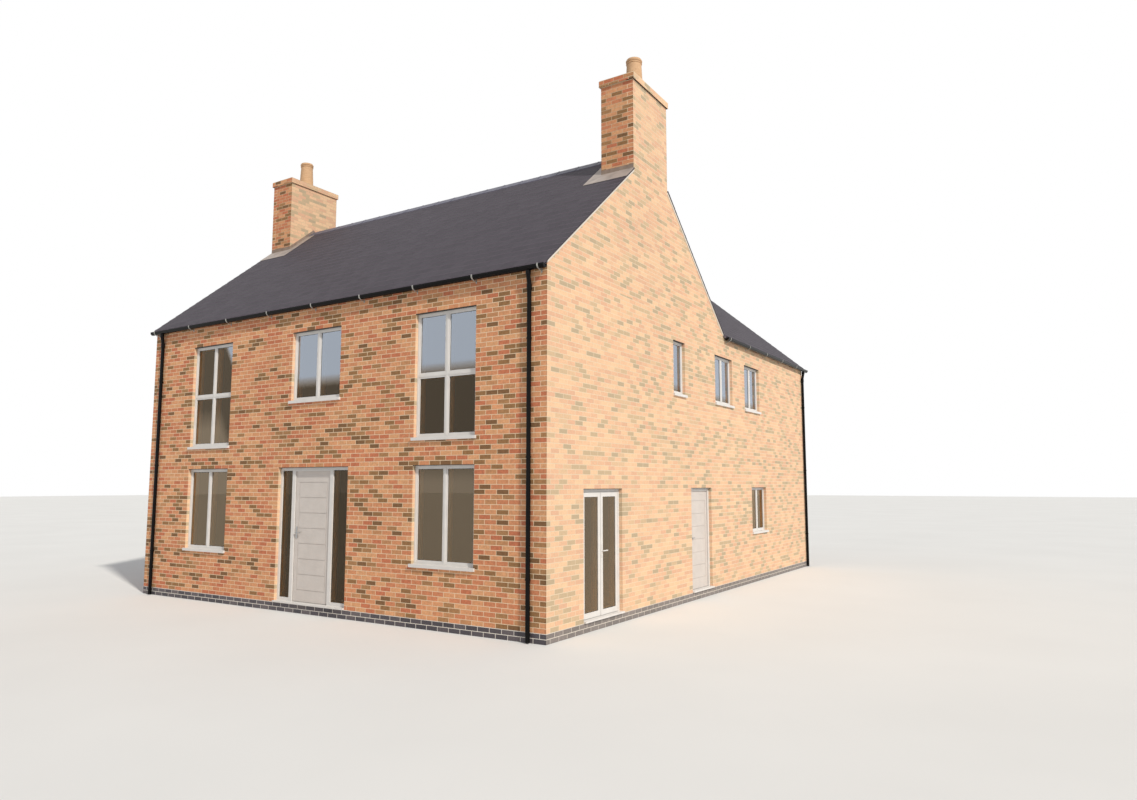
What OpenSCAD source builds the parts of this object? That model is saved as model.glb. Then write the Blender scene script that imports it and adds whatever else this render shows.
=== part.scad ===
// Two-storey brick house: a gabled main range with a chimney at each end,
// and a gabled wing behind its right half. Millimetres, +Z up. The front faces -Y.
// The origin is at ground level, in the middle of the main range's plan.

/* [Main range] */
// Width of the front, over the brickwork
main_w = 10070; // [9800:10:11000]
// Depth of the main range, over the brickwork
main_d = 6960; // [6800:10:7400]
// Height of the brickwork at the eaves
eaves_z = 5500; // [5400:10:5800]
// Thickness of an outside wall
wall_t = 300; // [280:10:350]
// Height of one brick course with its joint
course = 75; // [73:1:77]
// How far the front openings lie to the right of the middle
front_shift = 30; // [0:5:60]

/* [Rear wing] */
// Width of the wing, over the brickwork
wing_w = 6000; // [5600:10:6400]
// How far the wing runs back from the main range
wing_d = 5990; // [5600:10:6400]

/* [Roof] */
// Pitch of every roof slope, in degrees
pitch = 40.2; // [35:0.1:45]
// Thickness of the slates and battens, square to the slope
slate_t = 45; // [35:1:60]
// Depth of the rafters below the slates, square to the slope
rafter_t = 130; // [100:5:160]
// Overhang of the slates past the wall face at the eaves
eaves_over = 60; // [50:1:75]
// Overhang of the slates past the gables
verge_over = 26; // [20:1:50]
// Width of one leg of a ridge tile
ridge_leg = 150; // [120:5:180]

/* [Windows] */
// Width of the front windows
front_window_w = 1268; // [1100:1:1300]
// Width of the middle window over the front door
middle_window_w = 1285; // [1100:1:1300]
// Width of the side windows
side_window_w = 1012; // [900:1:1100]
// Width of the narrow stair window
narrow_window_w = 540; // [450:1:650]
// Distance of the frames behind the brick face
reveal = 60; // [40:1:90]
// Depth of a frame from front to back
frame_d = 70; // [60:1:90]
// Face width of a window frame's outer members
frame_w = 32; // [28:1:45]
// Face width of mullions and transoms
mullion_w = 38; // [32:1:50]
// Face width of a sash round its pane
sash_w = 28; // [22:1:36]
// Thickness of a window sill
sill_t = 50; // [40:1:60]
// How far a sill stands out of the wall
sill_out = 40; // [30:1:60]

/* [Doors] */
// Width of the front doorway, side lights included
front_door_w = 1820; // [1780:1:1850]
// Width of the light to the left of the front door
left_light_w = 270; // [240:1:300]
// Width of the light to the right of the front door
right_light_w = 375; // [340:1:400]
// Width of the side doorway
side_door_w = 1022; // [950:1:1050]
// Width of the doorway with two glazed leaves
french_w = 1240; // [1180:1:1300]
// Gap round a moving leaf
leaf_gap = 7; // [6:0.5:9]
// Thickness of a door leaf
leaf_t = 46; // [40:1:54]

/* [Chimneys] */
// Width of a chimney stack along the ridge
stack_w = 665; // [600:5:720]
// Depth of a chimney stack across the ridge
stack_d = 1400; // [1200:5:1500]
// Height of the top of the oversailing courses
stack_top = 9725; // [9500:5:10000]
// Height of a chimney pot above its stack
pot_h = 590; // [500:10:800]

/* [Rainwater goods] */
// Outside radius of a gutter
gutter_r = 52; // [48:1:58]
// Outside radius of a downpipe
pipe_r = 34; // [30:1:38]
// Distance between gutter brackets
bracket_step = 1236; // [1000:1:1500]

/* [Hidden] */
$fn = 48;

// Outside faces of the walls
side_x = main_w / 2;
front_y = -main_d / 2;
rear_y = main_d / 2;
wing_x = side_x - wing_w;
wing_y = rear_y + wing_d;

// Levels, most of them whole courses above the ground
plinth_z = 2 * course;
floor_t = 250;
first_floor_z = 2850;
ceiling_z = 5250;
ceiling_t = 150;
front_head_z = 34 * course;
side_head_z = 29 * course;
upper_head_z = 67 * course;
ground_sill_z = 940;
upper_sill_z = 2945;
middle_sill_z = 3710;
transom_z = 4000;
side_sill_z = 1100;
side_upper_sill_z = 3940;

// Roof
slope = tan(pitch);
slate_skin = 11;
slate_v = slate_t / cos(pitch);
rafter_v = rafter_t / cos(pitch);
slate_skin_v = slate_skin / cos(pitch);
ridge_z = eaves_z + rear_y * slope;
wing_half = wing_w / 2;
wing_mid_x = side_x - wing_half;
wing_ridge_z = eaves_z + wing_half * slope;
valley_y = rear_y - wing_half;
ridge_t = 18;
bed = 1;
mortar_out = 16;

// Openings: [middle along the wall, width, bottom, top]. Along a wall counts
// to the right as it is seen from outside.
front_window_x = 3050;
front_ground_windows = [
    [front_shift - front_window_x, front_window_w, ground_sill_z, front_head_z],
    [front_shift + front_window_x, front_window_w, ground_sill_z, front_head_z]
];
front_tall_windows = [
    [front_shift - front_window_x, front_window_w, upper_sill_z, upper_head_z],
    [front_shift + front_window_x, front_window_w, upper_sill_z, upper_head_z]
];
front_middle_window = [front_shift + 12, middle_window_w, middle_sill_z, upper_head_z];
front_doorway = [front_shift + 12, front_door_w, plinth_z, front_head_z];
french_doorway = [-1838, french_w, plinth_z, side_head_z];
side_doorway = [2137, side_door_w, plinth_z, side_head_z];
side_window_list = [
    [5624, side_window_w, side_sill_z, side_head_z],
    [3491, side_window_w, side_upper_sill_z, upper_head_z],
    [5290, side_window_w, side_upper_sill_z, upper_head_z]
];
narrow_window = [1152, narrow_window_w, side_upper_sill_z, upper_head_z];
left_window_list = [
    [1600, side_window_w, side_sill_z, side_head_z],
    [-1600, side_window_w, side_sill_z, side_head_z]
];
left_narrow_window = [0, narrow_window_w, side_upper_sill_z, upper_head_z];
main_rear_window_list = [
    [2900, front_window_w, ground_sill_z, front_head_z],
    [2900, middle_window_w, middle_sill_z, upper_head_z]
];
wing_left_window_list = [
    [-rear_y - wing_d / 2, side_window_w, side_sill_z, side_head_z],
    [-rear_y - wing_d / 2, side_window_w, side_upper_sill_z, upper_head_z]
];
wing_rear_x = 1450;
wing_rear_window_list = [
    for (side = [-1, 1]) [-wing_mid_x + side * wing_rear_x, front_window_w, ground_sill_z, front_head_z],
    for (side = [-1, 1]) [-wing_mid_x + side * wing_rear_x, middle_window_w, middle_sill_z, upper_head_z]
];

// Chimneys and what goes with them
stack_base_z = 7000;
cap_h = 120;
cap_out = 30;
flaunch_h = 60;
flaunch_edge = 12;
pot_foot_r = 165;
pot_neck_r = 142;
pot_rim_r = 158;
pot_roll_r = 28;
pot_bead_r = 12;
pot_wall = 22;
lead_t = 5;
lead_up = 90;
apron_down = 310;
apron_side = 215;

// Rainwater goods
gutter_gap = 22;
gutter_wall = 4;
gutter_lip = 16;
gutter_rim_z = eaves_z - 24;
gutter_axis_z = gutter_rim_z - gutter_lip;
gutter_v = -gutter_gap - gutter_r;
gutter_past = 50;
gutter_past_pipe = 12;
gutter_past_wing = 200;
strap_w = 24;
strap_t = 5;
stem_r = 6;
stem_l = 14;
stem_plate = 66;
bracket_end = 91;
bracket_in = 190;
pipe_v = -pipe_r - 12;
neck_drop = 60;
neck_l = 150;
neck_lap = 8;
pipe_foot_z = 12;
socket_r = pipe_r + 6;
socket_h = 80;
clip_w = 30;
clip_step = 1750;
front_pipe_x = [-4725, 4750];
wing_pipe_y = wing_y - 90;

// Frames, leaves and glass
glass_t = 24;
sash_back = 7;
door_head_w = 58;
door_frame_w = 50;
door_mullion_w = 70;
sill_horn = 26;
threshold_h = 28;
stile_w = 70;
bottom_rail_h = 84;
front_handle_z = 1390;
side_handle_z = 1190;
handle_in = 70;
handle_l = 125;
handle_r = 10;
handle_out = 48;
plate_w = 34;
plate_h = 210;
plate_t = 9;
stop_over = 12;
stop_gap = 6;
meeting_gap = 12;
knuckle_r = 7.5;
knuckle_l = 90;
flap_w = 34;
flap_t = 3;
hinge_in = 8;
groove_w = 12;
groove_d = 7;
board_h = 270;
field_in = 100;
field_end = 203;

// Brick and finish colours
brick = [0.72, 0.40, 0.28];
blue_brick = [0.24, 0.24, 0.28];
slate = [0.29, 0.27, 0.31];
mortar = [0.80, 0.76, 0.68];
frame_white = [0.84, 0.85, 0.86];
door_grey = [0.66, 0.69, 0.74];
pane = [0.20, 0.25, 0.30, 0.6];
black_metal = [0.06, 0.06, 0.07];
lead = [0.50, 0.52, 0.54];
clay = [0.74, 0.58, 0.42];
screed = [0.68, 0.66, 0.62];

// Placing along each elevation: X runs to the right as seen from outside,
// Y runs into the wall, and Z stays up.
module on_front() translate([0, front_y, 0]) children();
module on_right() translate([side_x, 0, 0]) rotate([0, 0, 90]) children();
module on_left() translate([-side_x, 0, 0]) rotate([0, 0, -90]) children();
module on_main_rear() translate([0, rear_y, 0]) rotate([0, 0, 180]) children();
module on_wing_rear() translate([0, wing_y, 0]) rotate([0, 0, 180]) children();
module on_wing_left() translate([wing_x, 0, 0]) rotate([0, 0, -90]) children();

// A box between two corners
module block(low, high) translate(low) cube(high - low);

// A stretch of wall
module wall(from, to, bottom = plinth_z, top = eaves_z)
    block([from, 0, bottom], [to, wall_t, top]);

// The hole for a window or a doorway
module hole(opening)
    block([opening[0] - opening[1] / 2, -1, opening[2]],
          [opening[0] + opening[1] / 2, wall_t + 1, opening[3]]);

module holes(openings) for (opening = openings) hole(opening);

function left_of(opening) = opening[0] - opening[1] / 2;
function right_of(opening) = opening[0] + opening[1] / 2;

// Structure at ground level
module footprint(inset) {
    translate([-side_x + inset, front_y + inset])
        square([main_w - 2 * inset, main_d - 2 * inset]);
    translate([wing_x + inset, front_y + inset])
        square([wing_w - 2 * inset, main_d + wing_d - 2 * inset]);
}

module plinth()
    color(blue_brick) linear_extrude(plinth_z) difference() {
        footprint(0);
        footprint(wall_t);
    }

module ground_floor()
    color(screed) linear_extrude(plinth_z) footprint(wall_t);

module first_floor()
    color(screed) translate([0, 0, first_floor_z - floor_t]) linear_extrude(floor_t) footprint(wall_t);

module upper_ceiling()
    color(screed) translate([0, 0, ceiling_z]) linear_extrude(ceiling_t) footprint(wall_t);

// Front wall
module front_wall_left()
    color(brick) on_front() difference() {
        wall(-side_x + wall_t, left_of(front_doorway));
        hole(front_ground_windows[0]);
        hole(front_tall_windows[0]);
        hole(front_middle_window);
    }

module front_wall_over_door()
    color(brick) on_front() difference() {
        wall(left_of(front_doorway), right_of(front_doorway), front_doorway[3]);
        hole(front_middle_window);
    }

module front_wall_right()
    color(brick) on_front() difference() {
        wall(right_of(front_doorway), side_x - wall_t);
        hole(front_ground_windows[1]);
        hole(front_tall_windows[1]);
        hole(front_middle_window);
    }

// A gable's wall, drawn along the wall and up
module gable_profile(half)
    polygon([[-half, plinth_z], [half, plinth_z], [half, eaves_z],
             [0, eaves_z + half * slope], [-half, eaves_z]]);

module standing(thickness)
    translate([0, thickness, 0]) rotate([90, 0, 0]) linear_extrude(thickness) children();

// The place of a chimney stack in the gable below it
module stack_seat()
    block([-stack_d / 2, -1, stack_base_z], [stack_d / 2, wall_t + 1, stack_top]);

module right_elevation()
    difference() {
        union() {
            standing(wall_t) gable_profile(rear_y);
            wall(rear_y, wing_y - wall_t);
        }
        stack_seat();
        holes(side_window_list);
        hole(narrow_window);
        hole(french_doorway);
        hole(side_doorway);
    }

module right_wall_part(from, to, bottom, top)
    color(brick) on_right() intersection() {
        right_elevation();
        block([from, -1, bottom], [to, wall_t + 1, top]);
    }

module side_wall_front()
    right_wall_part(front_y, left_of(french_doorway), plinth_z, ridge_z);

module side_wall_over_french_doors()
    right_wall_part(left_of(french_doorway), right_of(french_doorway), side_head_z, ridge_z);

module side_wall_middle()
    right_wall_part(right_of(french_doorway), left_of(side_doorway), plinth_z, ridge_z);

module side_wall_over_side_door()
    right_wall_part(left_of(side_doorway), right_of(side_doorway), side_head_z, ridge_z);

module side_wall_rear()
    right_wall_part(right_of(side_doorway), wing_y - wall_t, plinth_z, ridge_z);

module left_gable_wall()
    color(brick) on_left() difference() {
        standing(wall_t) gable_profile(rear_y);
        stack_seat();
        holes(left_window_list);
        hole(left_narrow_window);
    }

module main_rear_wall()
    color(brick) on_main_rear() difference() {
        wall(-wing_x, side_x - wall_t);
        holes(main_rear_window_list);
    }

module wing_left_wall()
    color(brick) on_wing_left() difference() {
        wall(-wing_y + wall_t, -rear_y + wall_t);
        holes(wing_left_window_list);
    }

module wing_rear_wall()
    color(brick) on_wing_rear() difference() {
        translate([-wing_mid_x, 0, 0]) standing(wall_t) gable_profile(wing_half);
        holes(wing_rear_window_list);
    }

// Roof slopes. A slope falls from its ridge line to an eaves line, and two
// slopes that meet in a valley are parted along the valley's plan line.
module slope_slab(half, top_drop, thick_v, reach)
    polygon([[-reach, eaves_z - (reach - half) * slope - top_drop],
             [0, eaves_z + half * slope - top_drop],
             [0, eaves_z + half * slope - top_drop + thick_v],
             [-reach, eaves_z - (reach - half) * slope - top_drop + thick_v]]);

// A slab whose ridge runs along X, falling towards -Y
module slab_along_x(half, drop, thick_v, reach, from, to)
    translate([from, 0, bed]) rotate([90, 0, 90]) linear_extrude(to - from)
        slope_slab(half, drop, thick_v, reach);

// A whole slope: slates out to the verges, battens over the gables, and
// rafters between them. The roof lies one bed above the brickwork.
module slope_along_x(half, from, to, verge_from, verge_to, inner_from, inner_to) {
    slab_along_x(half, slate_skin_v - slate_v, slate_skin_v, half + eaves_over, from - verge_from, to + verge_to);
    slab_along_x(half, 0, slate_v, half + eaves_over, from, to);
    slab_along_x(half, rafter_v, rafter_v, half - wall_t - bed, inner_from, inner_to);
}

module stack_cutouts()
    for (side = [-1, 1])
        block([side * side_x - (side > 0 ? stack_w + bed : verge_over + 1), -stack_d / 2 - bed, stack_base_z],
              [side * side_x + (side > 0 ? verge_over + 1 : stack_w + bed), stack_d / 2 + bed, stack_top]);

module main_slope()
    slope_along_x(rear_y, -side_x, side_x, verge_over, verge_over,
                  -side_x + wall_t + bed, side_x - wall_t - bed);

module wing_slope()
    translate([wing_mid_x, 0, 0]) rotate([0, 0, 90])
        slope_along_x(wing_half, 0, wing_y, 0, verge_over, 0, wing_y - wall_t - bed);

module main_roof_front()
    color(slate) difference() {
        main_slope();
        stack_cutouts();
    }

// Plan of the wing's roof on one side of its ridge, up to the valley
module wing_plan(reach)
    polygon([[0, valley_y], [reach, valley_y + reach], [reach + 500, valley_y + reach],
             [reach + 500, wing_y + 500], [0, wing_y + 500]]);

module main_roof_rear()
    color(slate) difference() {
        mirror([0, 1, 0]) main_slope();
        stack_cutouts();
        translate([wing_mid_x, 0, 0]) linear_extrude(ridge_z + 500) {
            wing_plan(wing_half + verge_over);
            mirror([1, 0, 0]) wing_plan(wing_half + eaves_over);
        }
    }

module wing_roof_right()
    color(slate) intersection() {
        wing_slope();
        translate([wing_mid_x, 0, 0]) linear_extrude(ridge_z + 500) wing_plan(wing_half + verge_over);
    }

module wing_roof_left()
    color(slate) intersection() {
        translate([2 * wing_mid_x, 0, 0]) mirror([1, 0, 0]) wing_slope();
        translate([wing_mid_x, 0, 0]) linear_extrude(ridge_z + 500)
            mirror([1, 0, 0]) wing_plan(wing_half + eaves_over);
    }

// An angular ridge tile's section, its inside resting on the slates
module ridge_section()
    polygon([[0, 0], [ridge_leg, -ridge_leg * slope], [ridge_leg, (ridge_t - ridge_leg * sin(pitch)) / cos(pitch)],
             [0, ridge_t / cos(pitch)],
             [-ridge_leg, (ridge_t - ridge_leg * sin(pitch)) / cos(pitch)], [-ridge_leg, -ridge_leg * slope]]);

module ridge_tiles()
    color(blue_brick) {
        translate([-side_x + stack_w + lead_t + bed, 0, ridge_z + slate_v + 2 * bed]) rotate([90, 0, 90])
            linear_extrude(main_w - 2 * (stack_w + lead_t + bed)) ridge_section();
        translate([wing_mid_x, wing_y + verge_over, wing_ridge_z + slate_v + 2 * bed]) rotate([90, 0, 0])
            linear_extrude(wing_y + verge_over - valley_y - ridge_leg) ridge_section();
    }

// Mortar that fills the edge of the roof under the slates, along one gable slope
module verge_strip(half, from = 0) {
    low = bed;
    high = slate_v - slate_skin_v;
    rotate([90, 0, 0]) linear_extrude(mortar_out)
        polygon([[from, eaves_z + (half - from) * slope + low], [half, eaves_z + low],
                 [half, eaves_z + high], [from, eaves_z + (half - from) * slope + high]]);
}

module verge_pair(half, from = 0) {
    verge_strip(half, from);
    mirror([1, 0, 0]) verge_strip(half, from);
}

module verge_mortar()
    color(mortar) {
        on_right() verge_pair(rear_y, stack_d / 2 + bed);
        on_left() verge_pair(rear_y, stack_d / 2 + bed);
        on_wing_rear() translate([-wing_mid_x, 0, 0]) verge_pair(wing_half);
    }

// Eaves: gutters, their brackets and the pipes

// A gutter's section: a half round with short straight lips
module gutter_section(radius) {
    circle(radius);
    translate([-radius, 0]) square([2 * radius, gutter_lip]);
}

module gutter_trough()
    difference() {
        intersection() {
            gutter_section(gutter_r);
            translate([-gutter_r, -gutter_r]) square([2 * gutter_r, gutter_r + gutter_lip]);
        }
        circle(gutter_r - gutter_wall);
        translate([-gutter_r + gutter_wall, 0])
            square([2 * (gutter_r - gutter_wall), gutter_lip + 1]);
    }

// A stop end closes a gutter. Under the slates it is cut away where they reach
// over it
module stop_end(under_slates)
    linear_extrude(gutter_wall) difference() {
        intersection() {
            gutter_section(gutter_r);
            translate([-gutter_r, -gutter_r]) square([2 * gutter_r, gutter_r + gutter_lip]);
        }
        if (under_slates)
            translate([-gutter_v - eaves_over - gutter_wall, -gutter_lip]) square([2 * gutter_r, 3 * gutter_lip]);
    }

module gutter(from, to, from_under_slates, to_under_slates)
    translate([from, gutter_v, gutter_axis_z]) rotate([90, 0, 90]) {
        linear_extrude(to - from) gutter_trough();
        stop_end(from_under_slates);
        translate([0, 0, to - from - gutter_wall]) stop_end(to_under_slates);
    }

gutter_clear = gutter_gap + 2 * gutter_r + 6;
module gutters()
    color(black_metal) {
        on_front() gutter(-side_x - gutter_past, side_x + gutter_past_pipe, false, true);
        on_main_rear() gutter(-wing_x + gutter_clear, side_x + gutter_past, true, false);
        on_right() gutter(rear_y + gutter_past, wing_y + gutter_past_wing, true, false);
        on_wing_left() gutter(-wing_y - gutter_past_wing, -rear_y - gutter_clear, false, true);
    }

// A rise and fall bracket: a strap round the gutter, hung on a stem that
// an arm holds off a plate on the wall
module bracket()
    translate([0, gutter_v, gutter_axis_z]) {
        rotate([90, 0, 90]) translate([0, 0, -strap_w / 2]) linear_extrude(strap_w) {
            difference() {
                circle(gutter_r + strap_t);
                circle(gutter_r);
                translate([-2 * gutter_r, 0]) square([4 * gutter_r, 2 * gutter_r]);
            }
            translate([-gutter_r - strap_t, 0]) square([strap_t, gutter_lip + strap_t]);
        }
        translate([0, 0, -gutter_r - stem_l]) cylinder(r = stem_r, h = stem_l - 1);
        translate([0, 0, -gutter_r - stem_l]) rotate([-90, 0, 0]) cylinder(r = stem_r, h = -gutter_v);
        block([-strap_w / 2, -gutter_v - strap_t, -gutter_r - stem_l - stem_plate / 2],
              [strap_w / 2, -gutter_v, -gutter_r - stem_l + stem_plate / 2]);
    }

module brackets(from, to) for (place = [from:bracket_step:to]) translate([place, 0, 0]) bracket();

module gutter_brackets()
    color(lead) {
        on_front() brackets(-side_x + bracket_end, side_x - bracket_end);
        on_main_rear() brackets(-wing_x + gutter_clear + bracket_end, side_x - bracket_end);
        on_right() brackets(rear_y + bracket_in, wing_y - bracket_end);
        on_wing_left() brackets(-wing_y + bracket_in, -rear_y - gutter_clear - bracket_end);
    }

module pipe_clip(z)
    translate([0, 0, z]) {
        translate([0, pipe_v, 0]) cylinder(r = socket_r, h = clip_w);
        block([-clip_w / 2, pipe_v, 0], [clip_w / 2, 0, clip_w]);
    }

// A downpipe: an outlet under the gutter, a swan neck back to the wall, and
// a straight pipe with its clips
module downpipe() {
    top = gutter_axis_z - gutter_r;
    neck_top = top - neck_drop;
    neck_foot = neck_top - neck_l;
    lean = atan((pipe_v - gutter_v) / neck_l);
    translate([0, gutter_v, neck_top - neck_lap]) cylinder(r = socket_r, h = neck_drop + neck_lap);
    translate([0, gutter_v, neck_top]) rotate([180 + lean, 0, 0]) cylinder(r = pipe_r, h = neck_l / cos(lean));
    translate([0, pipe_v, neck_foot - socket_h]) cylinder(r = socket_r, h = socket_h + neck_lap);
    translate([0, pipe_v, pipe_foot_z]) cylinder(r = pipe_r, h = neck_foot - pipe_foot_z);
    for (i = [0:2]) pipe_clip(clip_step * (i + 0.5));
}

module downpipes()
    color(black_metal) {
        on_front() for (x = front_pipe_x) translate([x, 0, 0]) downpipe();
        on_right() translate([wing_pipe_y, 0, 0]) downpipe();
        on_main_rear() translate([side_x - wall_t, 0, 0]) downpipe();
        on_wing_left() translate([-wing_pipe_y, 0, 0]) downpipe();
    }

// Chimneys. Each stack is flush with its gable and rises through the ridge.
module chimney() {
    block([-stack_w, -stack_d / 2, stack_base_z], [0, stack_d / 2, stack_top - cap_h]);
    block([-stack_w - cap_out, -stack_d / 2 - cap_out, stack_top - cap_h],
          [cap_out, stack_d / 2 + cap_out, stack_top]);
    hull() {
        block([-stack_w + cap_out, -stack_d / 2 + cap_out, stack_top - 1],
              [-cap_out, stack_d / 2 - cap_out, stack_top + flaunch_edge]);
        translate([-stack_w / 2, 0, stack_top]) cylinder(r = pot_foot_r + 12, h = flaunch_h, $fn = 32);
    }
}

module right_chimney() color(brick) translate([side_x, 0, 0]) chimney();
module left_chimney() color(brick) mirror([1, 0, 0]) translate([side_x, 0, 0]) chimney();

// A clay pot: a foot, a body that narrows, and a rolled rim over a bead
module pot()
    rotate_extrude() difference() {
        union() {
            polygon([[0, 0], [pot_foot_r, 0], [pot_foot_r, 45], [pot_neck_r, pot_h - 100],
                     [pot_neck_r, pot_h], [0, pot_h]]);
            translate([pot_rim_r - pot_roll_r, pot_h - 36]) circle(pot_roll_r);
            translate([pot_rim_r - pot_bead_r - 4, pot_h - 84]) circle(pot_bead_r);
        }
        translate([-1, 40]) square([pot_neck_r - pot_wall + 1, pot_h]);
    }

module chimney_pots()
    color(clay)
        for (side = [-1, 1])
            translate([side * (side_x - stack_w / 2), 0, stack_top + flaunch_h]) pot();

// Lead round the foot of the right stack: bands up its three faces, and
// an apron down each slope
module stack_lead() {
    x = side_x - stack_w;
    y = stack_d / 2;
    slate_top = ridge_z + slate_v + 2 * bed;
    translate([x - lead_t, 0, 0]) rotate([90, 0, 90]) linear_extrude(lead_t)
        polygon([[-y, slate_top - y * slope], [0, slate_top], [y, slate_top - y * slope],
                 [y, slate_top - y * slope + lead_up], [0, slate_top + lead_up],
                 [-y, slate_top - y * slope + lead_up]]);
    for (side = [0, 1]) mirror([0, side, 0]) {
        block([x - lead_t, -y - lead_t, slate_top - y * slope], [side_x, -y, slate_top - y * slope + lead_up]);
        translate([x - apron_side, 0, 0]) rotate([90, 0, 90]) linear_extrude(stack_w + apron_side)
            polygon([[-y, slate_top - y * slope], [-y, slate_top - y * slope + lead_t],
                     [-y - apron_down, slate_top - (y + apron_down) * slope + lead_t],
                     [-y - apron_down, slate_top - (y + apron_down) * slope]]);
    }
}

module chimney_flashings()
    color(lead) {
        stack_lead();
        mirror([1, 0, 0]) stack_lead();
    }

// Windows. A frame is a ring with its mullion and transom, each light holds a
// sash set a little behind the frame's face, and each sash holds a pane.
// frame_box gives the frame inside its opening: [left, right, bottom, top].
function frame_box(opening) = [left_of(opening), right_of(opening), opening[2] + sill_t, opening[3]];

// The lights of a frame, as [left, right, bottom, top]
function lights(box, across, bar_z = 0) =
    let (clear_w = box[1] - box[0] - 2 * frame_w - (across - 1) * mullion_w,
         light_w = clear_w / across,
         rows = bar_z > 0
             ? [[box[2] + frame_w, bar_z - mullion_w / 2], [bar_z + mullion_w / 2, box[3] - frame_w]]
             : [[box[2] + frame_w, box[3] - frame_w]])
    [for (i = [0:across - 1], row = rows)
        [box[0] + frame_w + i * (light_w + mullion_w),
         box[0] + frame_w + i * (light_w + mullion_w) + light_w, row[0], row[1]]];

function inside(light, by) = [light[0] + by, light[1] - by, light[2] + by, light[3] - by];

module light_hole(light)
    block([light[0], reveal - 1, light[2]], [light[1], reveal + frame_d + 1, light[3]]);

module sash(light)
    difference() {
        block([light[0], reveal + sash_back, light[2]], [light[1], reveal + frame_d - sash_back, light[3]]);
        light_hole(inside(light, sash_w));
    }

module window(opening, across, bar_z = 0) {
    box = frame_box(opening);
    difference() {
        block([box[0], reveal, box[2]], [box[1], reveal + frame_d, box[3]]);
        for (light = lights(box, across, bar_z)) light_hole(light);
    }
    for (light = lights(box, across, bar_z)) sash(light);
}

module panes(opening, across, bar_z = 0)
    for (light = lights(frame_box(opening), across, bar_z)) pane(inside(light, sash_w));

module pane(light)
    block([light[0], reveal + (frame_d - glass_t) / 2, light[2]],
          [light[1], reveal + (frame_d + glass_t) / 2, light[3]]);

module sill(opening) {
    block([left_of(opening) - sill_horn, -sill_out, opening[2]], [right_of(opening) + sill_horn, 0, opening[2] + sill_t]);
    block([left_of(opening), 0, opening[2]], [right_of(opening), reveal + frame_d, opening[2] + sill_t]);
}

module sills(openings) for (opening = openings) sill(opening);

module front_windows()
    color(frame_white) on_front() {
        for (opening = front_ground_windows) window(opening, 2);
        for (opening = front_tall_windows) window(opening, 2, transom_z);
        window(front_middle_window, 2);
    }

module side_windows()
    color(frame_white) on_right() {
        for (opening = side_window_list) window(opening, 2);
        window(narrow_window, 1);
    }

module rear_windows()
    color(frame_white) {
        on_left() {
            for (opening = left_window_list) window(opening, 2);
            window(left_narrow_window, 1);
        }
        on_main_rear() for (opening = main_rear_window_list) window(opening, 2);
        on_wing_left() for (opening = wing_left_window_list) window(opening, 2);
        on_wing_rear() for (opening = wing_rear_window_list) window(opening, 2);
    }

module window_sills()
    color(frame_white) {
        on_front() {
            sills(front_ground_windows);
            sills(front_tall_windows);
            sill(front_middle_window);
        }
        on_right() {
            sills(side_window_list);
            sill(narrow_window);
        }
        on_left() {
            sills(left_window_list);
            sill(left_narrow_window);
        }
        on_main_rear() sills(main_rear_window_list);
        on_wing_left() sills(wing_left_window_list);
        on_wing_rear() sills(wing_rear_window_list);
    }

// The front door's side lights, as [left, right, bottom, top]
light_z = [plinth_z + threshold_h + door_head_w, front_doorway[3] - door_head_w];
door_left = left_of(front_doorway) + door_frame_w + left_light_w + door_mullion_w;
door_right = right_of(front_doorway) - door_frame_w - right_light_w - door_mullion_w;
left_light = [left_of(front_doorway) + door_frame_w, door_left - door_mullion_w, light_z[0], light_z[1]];
right_light = [door_right + door_mullion_w, right_of(front_doorway) - door_frame_w, light_z[0], light_z[1]];
door_head = front_doorway[3] - door_head_w;

module front_glass()
    color(pane) on_front() {
        for (opening = front_ground_windows) panes(opening, 2);
        for (opening = front_tall_windows) panes(opening, 2, transom_z);
        panes(front_middle_window, 2);
        pane(left_light);
        pane(right_light);
    }

module side_glass()
    color(pane) on_right() {
        for (opening = side_window_list) panes(opening, 2);
        panes(narrow_window, 1);
    }

module rear_glass()
    color(pane) {
        on_left() {
            for (opening = left_window_list) panes(opening, 2);
            panes(left_narrow_window, 1);
        }
        on_main_rear() for (opening = main_rear_window_list) panes(opening, 2);
        on_wing_left() for (opening = wing_left_window_list) panes(opening, 2);
        on_wing_rear() for (opening = wing_rear_window_list) panes(opening, 2);
    }

// Doors
// The hole in a frame that a leaf closes: full width where the leaf stands,
// and narrower by the stops that it closes against
module leaf_hole(left, right, top, leaf_from, leaf_to) {
    block([left + stop_over, reveal - 1, plinth_z + threshold_h],
          [right - stop_over, reveal + frame_d + 1, top - stop_over]);
    block([left, leaf_from, plinth_z + threshold_h], [right, leaf_to, top]);
}

// A door frame fills its doorway, and its threshold reaches out past the wall
module door_frame(doorway) {
    difference() {
        block([left_of(doorway), reveal, plinth_z], [right_of(doorway), reveal + frame_d, doorway[3]]);
        children();
    }
    block([left_of(doorway), -sill_out, plinth_z], [right_of(doorway), reveal, plinth_z + threshold_h]);
}

module front_door_frame()
    color(frame_white) on_front() door_frame(front_doorway) {
        leaf_hole(door_left, door_right, door_head, leaf_front - stop_gap, leaf_back + 1);
        light_hole(left_light);
        light_hole(right_light);
    }

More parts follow.
